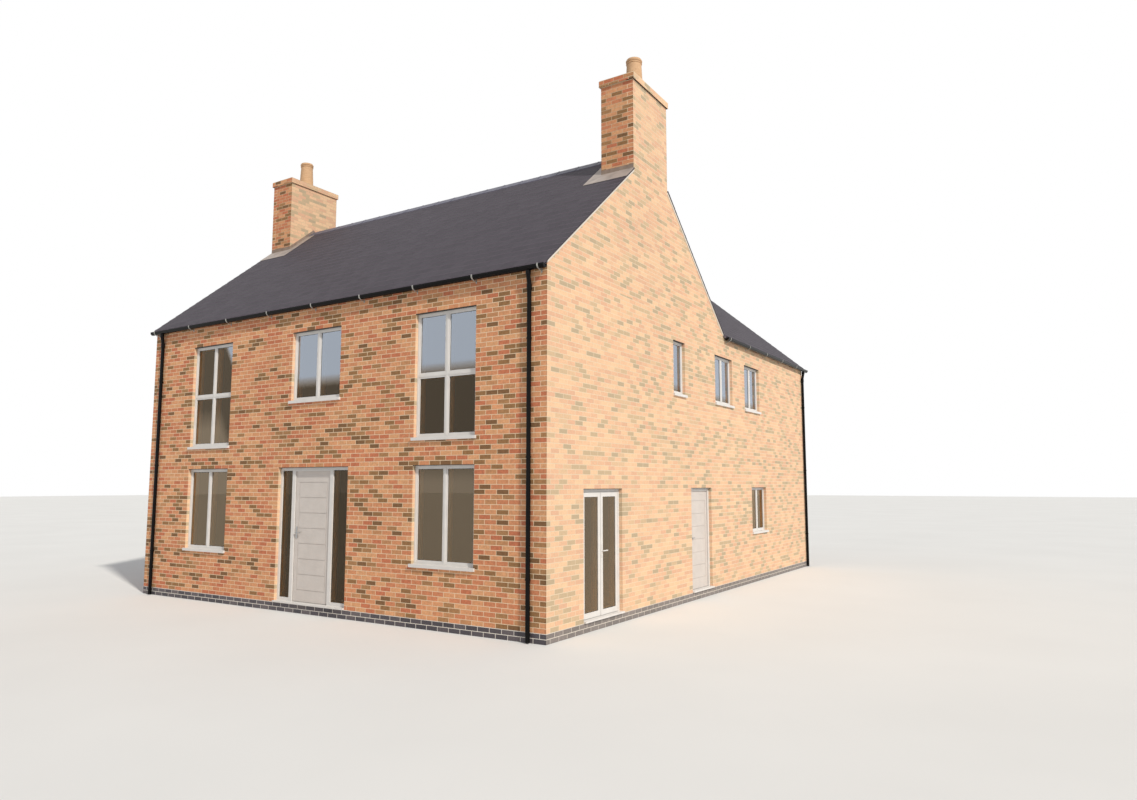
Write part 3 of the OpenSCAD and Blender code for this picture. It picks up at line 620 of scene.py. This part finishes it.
lintels = Pile()
for name, face, gable_middle in (
    ("front_bricks", front_face, None),
    ("right_side_bricks", right_face, 0.0),
    ("left_side_bricks", left_face, 0.0),
    ("main_rear_bricks", main_rear_face, None),
    ("wing_left_bricks", wing_left_face, None),
    ("wing_rear_bricks", wing_rear_face, (wing_left + high.x) / 2),
):
    bricks = Pile()
    openings = openings_in(face)
    below = [
        (face.start - past_corner, 0.0),
        (face.end + past_corner, 0.0),
        (face.end + past_corner, eaves),
        (face.start - past_corner, eaves),
    ]
    for row in range(plinth_courses, math.ceil(eaves / course)):
        lay_course(bricks, face, row, openings, below if (row + 1) * course > eaves else None)
    if gable_middle is not None:
        half = main_rear if gable_middle == 0.0 else wing_half
        rake = gable(gable_middle, half)
        top = eaves + (half - stack_half) * slope if gable_middle == 0.0 else eaves + half * slope
        for row in range(math.floor(eaves / course), math.ceil(top / course)):
            lay_course(bricks, face, row, (), rake)
    bricks.piece(name, brick_finish)
    for left, right, bottom, top in openings:
        face.slab(lintels, left, right, top - lintel_t, top + lintel_over, lintel_proud, -reveal_depth)
lintels.piece("lintels", lintel_finish)

# Windows
# The casements are aluminium in a satin off-white, set half a brick's width back.
# Each opening light is a sash with a black gasket round its sealed glass unit, and
# a pressed sill stands out below it, with a short horn at each end.
gasket_w = 0.006
gasket_proud = 0.0015
gasket_in = 0.001

# Each pane has a painted reflection over its true one: a warm tone low down, little
# above that, and a cool tone from the upper floor on, set by height. The levels are
# shares of storey_span. They rise by far_lift between far_to and far_from, and the
# front door's side lights are never below door_level.
glass_rough = 0.01
glass_ior = 1.6
storey_span = 6.0
far_from = -2.8
far_to = -2.2
far_lift = 0.175
door_level = 0.5

# The casement handles, each a plate, a neck and a lever.
frame_in = 0.123
handle_in = 0.014
plate_w = 0.022
plate_h = 0.07
plate_t = 0.008
neck_w = 0.014
lever_w = 0.019
lever_l = 0.115
lever_t = 0.012
lever_off = 0.026

frame_finish, tree, shader = new_finish("off_white_aluminium", roughness=0.38)
white = patchy(tree, clouds(tree, scale=6.0), (214, 211, 208), (222, 219, 216))
tree.links.new(white, shader.inputs["Base Color"])
roughened(tree, shader, clouds(tree, scale=400.0, detail=2.0), depth=0.0003, strength=0.3)
dress(frame_finish, "front_windows", "side_windows", "rear_windows", "window_sills")

glass_finish, tree, shader = new_finish("sealed_glass", roughness=0.0)
clear = tree.nodes.new("ShaderNodeBsdfTransparent")
tint = patchy(tree, clouds(tree, scale=0.8), (234, 230, 220), (240, 236, 228))
tree.links.new(tint, clear.inputs["Color"])
mirror = tree.nodes.new("ShaderNodeBsdfGlossy")
mirror.inputs["Roughness"].default_value = glass_rough
edge_on = tree.nodes.new("ShaderNodeFresnel")
edge_on.inputs["IOR"].default_value = glass_ior
spot = parts_of(tree, "Position")
height = tree.nodes.new("ShaderNodeMapRange")
height.inputs["From Max"].default_value = storey_span
far_end = tree.nodes.new("ShaderNodeMapRange")
far_end.inputs["From Min"].default_value = far_from
far_end.inputs["From Max"].default_value = far_to
far_end.inputs["To Min"].default_value = far_lift
far_end.inputs["To Max"].default_value = 0.0
tree.links.new(spot["Z"], height.inputs["Value"])
tree.links.new(spot["X"], far_end.inputs["Value"])
storey = combined(tree, "SUBTRACT", height.outputs["Result"], far_end.outputs["Result"])
door_low, door_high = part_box("front_door_frame")
side_lights = tree.nodes.new("ShaderNodeMapRange")
side_lights.inputs["To Max"].default_value = door_level
tree.links.new(between(tree, spot["X"], door_low.x, door_high.x), side_lights.inputs["Value"])
storey = combined(tree, "MAXIMUM", storey, side_lights.outputs["Result"])


def grey_of(level):
    return (level, level, level, 1.0)


# Painted reflection: the mirror share added by height, and its warm and cool hues.
painted_reflection_levels = [(0.38, grey_of(0.13)), (0.45, grey_of(0.01)), (0.665, grey_of(0.01)), (0.70, grey_of(0.40))]
painted_reflection_hues = [(0.665, (0.94, 0.74, 0.52, 1.0)), (0.70, (0.72, 0.80, 0.92, 1.0))]
tree.links.new(ramp_of(tree, storey, painted_reflection_hues), mirror.inputs["Color"])
shared = combined(tree, "ADD", edge_on.outputs["Fac"], ramp_of(tree, storey, painted_reflection_levels))
pane_mix = tree.nodes.new("ShaderNodeMixShader")
tree.links.new(shared, pane_mix.inputs["Fac"])
tree.links.new(clear.outputs["BSDF"], pane_mix.inputs[1])
tree.links.new(mirror.outputs["BSDF"], pane_mix.inputs[2])
tree.links.new(pane_mix.outputs["Shader"], tree.nodes["Material Output"].inputs["Surface"])
dress(glass_finish, "front_glass", "side_glass", "rear_glass", "french_glass_front", "french_glass_rear")

gasket_finish, tree, shader = new_finish("gasket_rubber", roughness=0.7)
rubber = patchy(tree, clouds(tree, scale=60.0), (34, 34, 36), (44, 44, 46))
tree.links.new(rubber, shader.inputs["Base Color"])


def gaskets_round(pile, face, pane):
    left, right = pane[0][face.along], pane[1][face.along]
    bottom, top = pane[0][2], pane[1][2]
    skin = face.out * ((pane[1] if face.out > 0 else pane[0])[1 - face.along] - face.plane)
    for strip in (
        (left, right, bottom, bottom + gasket_w),
        (left, right, top - gasket_w, top),
        (left, left + gasket_w, bottom + gasket_w, top - gasket_w),
        (right - gasket_w, right, bottom + gasket_w, top - gasket_w),
    ):
        face.slab(pile, *strip, skin + gasket_proud, skin - gasket_in)


casement_finish, tree, shader = new_finish("white_handle", roughness=0.35)
bright = patchy(tree, clouds(tree, scale=30.0), (216, 214, 210), (222, 220, 217))
tree.links.new(bright, shader.inputs["Base Color"])


def shut_slab(pile, face, middle, width, low, high, front, back):
    """A slab about a middle line, closed on the room side too."""
    face.slab(pile, middle - width / 2, middle + width / 2, low, high, front, back)
    pile.close(4)


def casement_handle(pile, face, pane):
    """A lever on the room side of the stile at the left of a pane, seen from outside."""
    low_side = (face.along == 0) == (face.out < 0)
    edge = pane[0][face.along] if low_side else pane[1][face.along]
    middle = edge - handle_in if low_side else edge + handle_in
    height = (pane[0][2] + pane[1][2]) / 2
    back = -frame_in
    neck_back = back - lever_off
    lever_top = height + lever_w
    shut_slab(pile, face, middle, plate_w, height - plate_h / 2, height + plate_h / 2, back, back - plate_t)
    shut_slab(pile, face, middle, neck_w, height, height + neck_w, back - plate_t, neck_back)
    shut_slab(pile, face, middle, lever_w, lever_top - lever_l, lever_top, neck_back, neck_back - lever_t)


gaskets = Pile()
casement_handles = Pile()
for pane in solids("front_glass", "side_glass", "rear_glass"):
    for face in faces:
        if face.holds(*pane):
            gaskets_round(gaskets, face, pane)
            casement_handle(casement_handles, face, pane)
gaskets.piece("window_gaskets", gasket_finish)
casement_handles.piece("casement_handles", casement_finish)

# Doors
# The front and side doors are grooved composite leaves in a pale grey. The glazed
# pair is made like the windows. All hang on steel butts and have lever handles.
door_finish, tree, shader = new_finish("door_grey_paint", roughness=0.42)
grey = patchy(tree, clouds(tree, scale=5.0), (200, 192, 186), (208, 200, 194))
tree.links.new(grey, shader.inputs["Base Color"])
brush_marks = clouds(tree, scale=70.0, detail=3.0, stretch=(1.0, 1.0, 0.1))
roughened(tree, shader, brush_marks, depth=0.0004, strength=0.3)
dress(door_finish, "front_door", "side_door")
dress(frame_finish, "front_door_frame", "side_door_frame", "french_door_frame")
dress(frame_finish, "french_leaf_front", "french_leaf_rear")

handle_finish, tree, shader = new_finish("satin_steel", roughness=0.3, metallic=0.9)
brushed = clouds(tree, scale=40.0, detail=3.0, stretch=(1.0, 1.0, 8.0))
satin = patchy(tree, brushed, (168, 168, 168), (190, 190, 190))
tree.links.new(satin, shader.inputs["Base Color"])
dress(handle_finish, "front_door_fittings", "side_door_fittings")
dress(frame_finish, "french_front_hinges", "french_rear_fittings")

for name, body in (("french_glass_front", "french_front_body"), ("french_glass_rear", "french_rear_body")):
    leaf_gaskets = Pile()
    for pane in solids(name):
        gaskets_round(leaf_gaskets, right_face, pane)
    leaf_gaskets.piece(name.replace("glass", "gasket"), gasket_finish, body)

# Roof slopes
# Every slope is covered in thin smooth slates, head nailed on battens and lapped so
# that each course covers the joints of the one below. Their tail edges are painted
# paler, as painted light over the shade that falls on them. They stop short of the
# valleys, which are lined with lead.
slate_w = 0.25
gauge = 0.20
slate_lap = 0.03
slate_gap = 0.003
slate_lift = 0.006
slate_t = 0.005
slate_bed = 0.002
smallest_cut = 1e-4
tail_from = 0.9
stack_in = 0.024
stack_clear = 0.006
valley_open = 0.055
valley_lead_w = 0.16
lead_lift = 0.0025
lead_bed = 0.002

slate_finish, tree, shader = new_finish("natural_slate", roughness=0.7)
shader.inputs["Specular IOR Level"].default_value = 0.3
slates = graded(tree, (57, 52, 60), (61, 56, 64), (65, 60, 68))
slates = weathered(tree, slates, clouds(tree, scale=14.0, detail=4.0), low=0.94, high=1.06)
facing = parts_of(tree, "Normal")
# The tail edges, which face down the slope, get painted light: a paler grey over their shade.
front_tails = between(tree, facing["Y"], -facing_to, -tail_from)
rear_tails = between(tree, facing["Y"], tail_from, facing_to)
tails = combined(tree, "MAXIMUM", front_tails, rear_tails)
tree.links.new(painted(tree, slates, tails, shade_of(116, 108, 118)), shader.inputs["Base Color"])
roughened(tree, shader, clouds(tree, scale=60.0, detail=4.0), depth=0.001, strength=0.5)
dress(slate_finish, "main_roof_front", "main_roof_rear", "wing_roof_right", "wing_roof_left")


def area_of(shape):
    return sum(x * v - u * y for (x, y), (u, v) in zip(shape, shape[1:] + shape[:1])) / 2


class Slope:
    """A roof slope. ridge is the line it falls from, along X or Y, and side the way it falls."""

    def __init__(self, along, ridge, side, reach, start, end, top):
        self.along, self.ridge, self.side, self.reach = along, ridge, side, reach
        self.start, self.end, self.top = start, end, top

    def plan(self, place, fall):
        spot = [0.0, 0.0]
        spot[self.along] = place
        spot[1 - self.along] = self.ridge + self.side * fall
        return tuple(spot)

    def fall_at(self, spot):
        return (spot[1 - self.along] - self.ridge) * self.side

    def point(self, spot, lift):
        return (spot[0], spot[1], self.top - self.fall_at(spot) * slope + lift / math.cos(pitch))


def lay_slates(name, slope_of, regions):
    pile = Pile()
    tread = gauge * math.cos(pitch)
    lap = slate_lap * math.cos(pitch)
    for row in range(math.ceil(slope_of.reach / tread)):
        lower = slope_of.reach - row * tread
        upper = max(lower - tread - lap, 0.0)
        place = slope_of.start - (slate_w / 2 if row % 2 else 0.0)
        while place < slope_of.end:
            left, right = place + slate_gap / 2, place + slate_w - slate_gap / 2
            corners = [(left, lower), (right, lower), (right, upper), (left, upper)]
            shape = [slope_of.plan(across, fall) for across, fall in corners]
            shape = shape if area_of(shape) > 0 else shape[::-1]
            tone = random.random()
            for region in regions:
                part = clipped(shape, region)
                if part and area_of(part) > smallest_cut:
                    rises = [(slope_of.fall_at(spot) - upper) / (tread + lap) for spot in part]
                    lifts = [slate_bed + slate_lift * rise for rise in rises]
                    over = [slope_of.point(spot, lift) for spot, lift in zip(part, lifts)]
                    under = [slope_of.point(spot, lift - slate_t) for spot, lift in zip(part, lifts)]
                    pile.block(over, under, tone)
            place += slate_w
    pile.piece(name, slate_finish)


roof_low, roof_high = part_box("main_roof_front")
wing_roof_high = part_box("wing_roof_right")[1]
wing_roof_left_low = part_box("wing_roof_left")[0]
main_top = roof_high.z
wing_top = wing_roof_high.z
main_reach = -roof_low.y
wing_middle = (wing_left + high.x) / 2
wing_reach = wing_middle - wing_roof_left_low.x
valley_top = main_rear - wing_half
verge = roof_high.x
beside_stack = stack_low.x + stack_in
stack_edge = stack_half + stack_clear
wing_end = wing_roof_high.y

front_slope = Slope(0, 0.0, -1, main_reach, roof_low.x, roof_high.x, main_top)
rear_slope = Slope(0, 0.0, 1, main_reach, roof_low.x, roof_high.x, main_top)
wing_right_slope = Slope(1, wing_middle, 1, wing_reach, 0.0, wing_end, wing_top)
wing_left_slope = Slope(1, wing_middle, -1, wing_reach, 0.0, wing_end, wing_top)


def valley_x(y, side, back=0.0):
    """Where the valley on one side of the wing runs, or a line set back from it."""
    return wing_middle + side * (y - valley_top + back)


lay_slates(
    "main_front_slates",
    front_slope,
    [
        [
            (-verge, -main_reach),
            (verge, -main_reach),
            (verge, -stack_edge),
            (-verge, -stack_edge),
        ],
        [
            (-beside_stack, -stack_edge),
            (beside_stack, -stack_edge),
            (beside_stack, 0.0),
            (-beside_stack, 0.0),
        ],
    ],
)
valley_head = valley_top - valley_open
valley_foot = valley_head + verge - wing_middle
left_of_valley = valley_x(stack_edge, -1, valley_open)
right_of_valley = valley_x(stack_edge, 1, valley_open)
lay_slates(
    "main_rear_slates",
    rear_slope,
    [
        [
            (-beside_stack, 0.0),
            (beside_stack, 0.0),
            (beside_stack, valley_head),
            (-beside_stack, valley_head),
        ],
        [
            (-beside_stack, valley_head),
            (wing_middle, valley_head),
            (left_of_valley, stack_edge),
            (-beside_stack, stack_edge),
        ],
        [
            (wing_middle, valley_head),
            (beside_stack, valley_head),
            (beside_stack, stack_edge),
            (right_of_valley, stack_edge),
        ],
        [
            (-verge, stack_edge),
            (left_of_valley, stack_edge),
            (valley_x(main_reach, -1, valley_open), main_reach),
            (-verge, main_reach),
        ],
        [(right_of_valley, stack_edge), (verge, stack_edge), (verge, valley_foot)],
    ],
)
wing_start = valley_top + valley_open
verge_start = wing_start + verge - wing_middle
lay_slates(
    "wing_right_slates",
    wing_right_slope,
    [
        [(wing_middle, wing_start), (verge, verge_start), (verge, wing_end), (wing_middle, wing_end)],
        [
            (verge, verge_start),
            (wing_middle + wing_reach, verge_start),
            (wing_middle + wing_reach, wing_end),
            (verge, wing_end),
        ],
    ],
)
lay_slates(
    "wing_left_slates",
    wing_left_slope,
    [
        [
            (wing_middle - wing_reach, wing_start + wing_reach),
            (wing_middle, wing_start),
            (wing_middle, wing_end),
            (wing_middle - wing_reach, wing_end),
        ]
    ],
)

lead_finish, tree, shader = new_finish("milled_lead", roughness=0.55, metallic=0.25)
patina = clouds(tree, scale=5.0, detail=5.0)
leads = patchy(tree, patina, (150, 140, 134), (178, 166, 158))
tree.links.new(leads, shader.inputs["Base Color"])
roughened(tree, shader, clouds(tree, scale=9.0, detail=3.0), depth=0.004, strength=0.5)

valley_lead = Pile()
for side in (-1, 1):
    end = verge if side > 0 else wing_middle - wing_reach
    last = valley_top + abs(end - wing_middle)
    wing_side = wing_right_slope if side > 0 else wing_left_slope
    for slope_of, back in ((rear_slope, valley_lead_w), (wing_side, -valley_lead_w)):
        strip = [
            (wing_middle, valley_top),
            (valley_x(last, side), last),
            (valley_x(last, side, back) if back < 0 else end, last if back < 0 else last - back),
            (wing_middle, valley_top - back),
        ]
        strip = strip if area_of(strip) > 0 else strip[::-1]
        over = [slope_of.point(spot, lead_lift) for spot in strip]
        under = [slope_of.point(spot, -lead_bed) for spot in strip]
        valley_lead.block(over, under)
valley_lead.piece("valley_lead", lead_finish)

# Ridges and verges
# Angular ridge tiles of blue-black clay are bedded end to end over the ridges, with
# a raised roll at each joint. The verges are pointed with cream mortar.
ridge_tile_l = 0.45
ridge_leg = 0.15
ridge_t = 0.018
ridge_bed = 0.001
wing_ridge_in = 0.2
roll_w = 0.032
roll_proud = 0.006
roll_past = 0.004

ridge_finish, tree, shader = new_finish("ridge_clay", roughness=0.5)
tiles = patchy(tree, clouds(tree, scale=9.0, detail=4.0), (76, 76, 92), (98, 96, 112))
tree.links.new(tiles, shader.inputs["Base Color"])
roughened(tree, shader, clouds(tree, scale=80.0), depth=0.001, strength=0.5)
dress(ridge_finish, "ridge_tiles")
dress(mortar_finish, "verge_mortar")


def ridge_rolls(pile, along, line, start, end, top):
    """The rolls over the joints of one ridge. top is the height of its crest."""
    count = round((end - start) / ridge_tile_l)
    leg = ridge_leg + roll_past
    crest = top + roll_proud
    section = [(-leg, crest - leg * slope), (0.0, crest), (leg, crest - leg * slope)]
    section += [(x, z - ridge_t - roll_proud) for x, z in section[::-1]]
    for i in range(count):
        middle = start + (i + (0.5 if i == 0 else 0.0)) * (end - start) / count
        ends = []
        for place in (middle - roll_w / 2, middle + roll_w / 2):
            ring = []
            for across, z in section:
                spot = [0.0, 0.0, z]
                spot[along] = place
                spot[1 - along] = line + across
                ring.append(tuple(spot))
            ends.append(ring)
        near, far = (ends if along == 0 else ends[::-1])
        pile.block(near, far)
        pile.close(len(section))


ridge_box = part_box("ridge_tiles")
rolls = Pile()
ridge_rolls(rolls, 0, 0.0, ridge_box[0].x, ridge_box[1].x, ridge_box[1].z)
wing_crest = wing_top + ridge_t / math.cos(pitch) + ridge_bed
ridge_rolls(rolls, 1, wing_middle, valley_top + wing_ridge_in, ridge_box[1].y, wing_crest)
rolls.piece("ridge_rolls", ridge_finish)

# Chimneys
# Each stack is built in the same brick as the gable it rises from. A whole course
# and a cut one oversail as its cap, under a mortar flaunching that sheds the rain and
# a buff clay pot, and lead is dressed round its foot.
flaunch_h = 0.06
cap_h = 0.12
below_slates = 0.1
apron_lift = 0.0125
apron_t = 0.003

dress(wall_finish, "right_chimney", "left_chimney")
stack_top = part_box("chimney_pots")[0].z - flaunch_h
cap_row = math.floor((stack_top - cap_h) / course)
cap_raised = stack_top - course - cap_row * course


def stack_faces(inner, outer, half, out):
    """The four faces of a stack between two X places, the outer one in the gable."""
    left, right = min(inner, outer), max(inner, outer)
    return [
        Face(0, -half, -1, left, right, 1),
        Face(0, half, 1, left, right, 0),
        Face(1, outer, out, -half, half, 0),
        Face(1, inner, -out, -half, half, 0),
    ]


for name, outer, out in (("right_stack_bricks", high.x, 1), ("left_stack_bricks", low.x, -1)):
    inner = outer - out * (stack_high.x - stack_low.x - 2 * cap_out)
    bricks = Pile()
    for face in stack_faces(inner, outer, stack_half, out):
        foot = main_top - stack_half * slope - below_slates
        if face.along == 1 and face.plane == outer:
            foot = eaves + (main_rear - stack_half) * slope + course
        for row in range(math.floor(foot / course), cap_row):
            lay_course(bricks, face, row)
    for face in stack_faces(inner - out * cap_out, outer + out * cap_out, stack_half + cap_out, out):
        cap_band = [
            (face.start - cap_out, stack_top - cap_h),
            (face.end + cap_out, stack_top - cap_h),
            (face.end + cap_out, stack_top),
            (face.start - cap_out, stack_top),
        ]
        lay_course(bricks, face, cap_row - 1, region=cap_band, raised=cap_raised)
        lay_course(bricks, face, cap_row, raised=cap_raised)
    bricks.piece(name, brick_finish)

soaker_finish, tree, shader = new_finish("dark_lead", roughness=0.6, metallic=0.2)
darks = patchy(tree, clouds(tree, scale=7.0, detail=4.0), (128, 110, 98), (150, 132, 118))
tree.links.new(darks, shader.inputs["Base Color"])
dress(soaker_finish, "chimney_flashings")

apron_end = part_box("chimney_flashings")[1].y
apron_inner = min(solid[0][0] for solid in solids("chimney_flashings") if solid[0][0] > 0)
stack_inner = stack_low.x + cap_out
aprons = Pile()
for side in (-1, 1):
    for slope_of in (front_slope, rear_slope):
        way = slope_of.side
        foot = way * stack_half
        apron_foot = way * apron_end
        beside = [(apron_inner, 0.0), (stack_inner, 0.0), (stack_inner, foot), (apron_inner, foot)]
        across = [(apron_inner, foot), (verge, foot), (verge, apron_foot), (apron_inner, apron_foot)]
        for strip in (beside, across):
            strip = [(side * x, y) for x, y in strip]
            strip = strip if area_of(strip) > 0 else strip[::-1]
            over = [slope_of.point(spot, apron_lift) for spot in strip]
            under = [slope_of.point(spot, apron_lift - apron_t) for spot in strip]
            aprons.block(over, under)
aprons.piece("stack_aprons", lead_finish)

pot_finish, tree, shader = new_finish("buff_clay", roughness=0.8)
rings = clouds(tree, scale=8.0, detail=3.0, stretch=(1.0, 1.0, 12.0))
buff = patchy(tree, rings, (192, 152, 116), (212, 176, 138))
buff = weathered(tree, buff, clouds(tree, scale=30.0), low=0.92, high=1.06)
tree.links.new(buff, shader.inputs["Base Color"])
roughened(tree, shader, rings, depth=0.003, strength=0.5)
dress(pot_finish, "chimney_pots")

# Rainwater goods
# Half-round gutters and round pipes of black coated aluminium. The gutters sit in
# galvanised rise-and-fall brackets, whose pale straps and stems show below them.
gutter_finish, tree, shader = new_finish("black_coated_metal", roughness=0.2)
shader.inputs["Specular IOR Level"].default_value = 0.12
blacks = patchy(tree, clouds(tree, scale=4.0, detail=4.0), (10, 9, 9), (16, 15, 15))
tree.links.new(blacks, shader.inputs["Base Color"])
roughened(tree, shader, clouds(tree, scale=30.0), depth=0.0005, strength=0.3)
dress(gutter_finish, "gutters", "downpipes")

bracket_finish, tree, shader = new_finish("galvanised_steel", roughness=0.45, metallic=0.5)
zinc = patchy(tree, clouds(tree, scale=50.0, detail=3.0), (150, 150, 146), (196, 194, 188))
tree.links.new(zinc, shader.inputs["Base Color"])
dress(bracket_finish, "gutter_brackets")
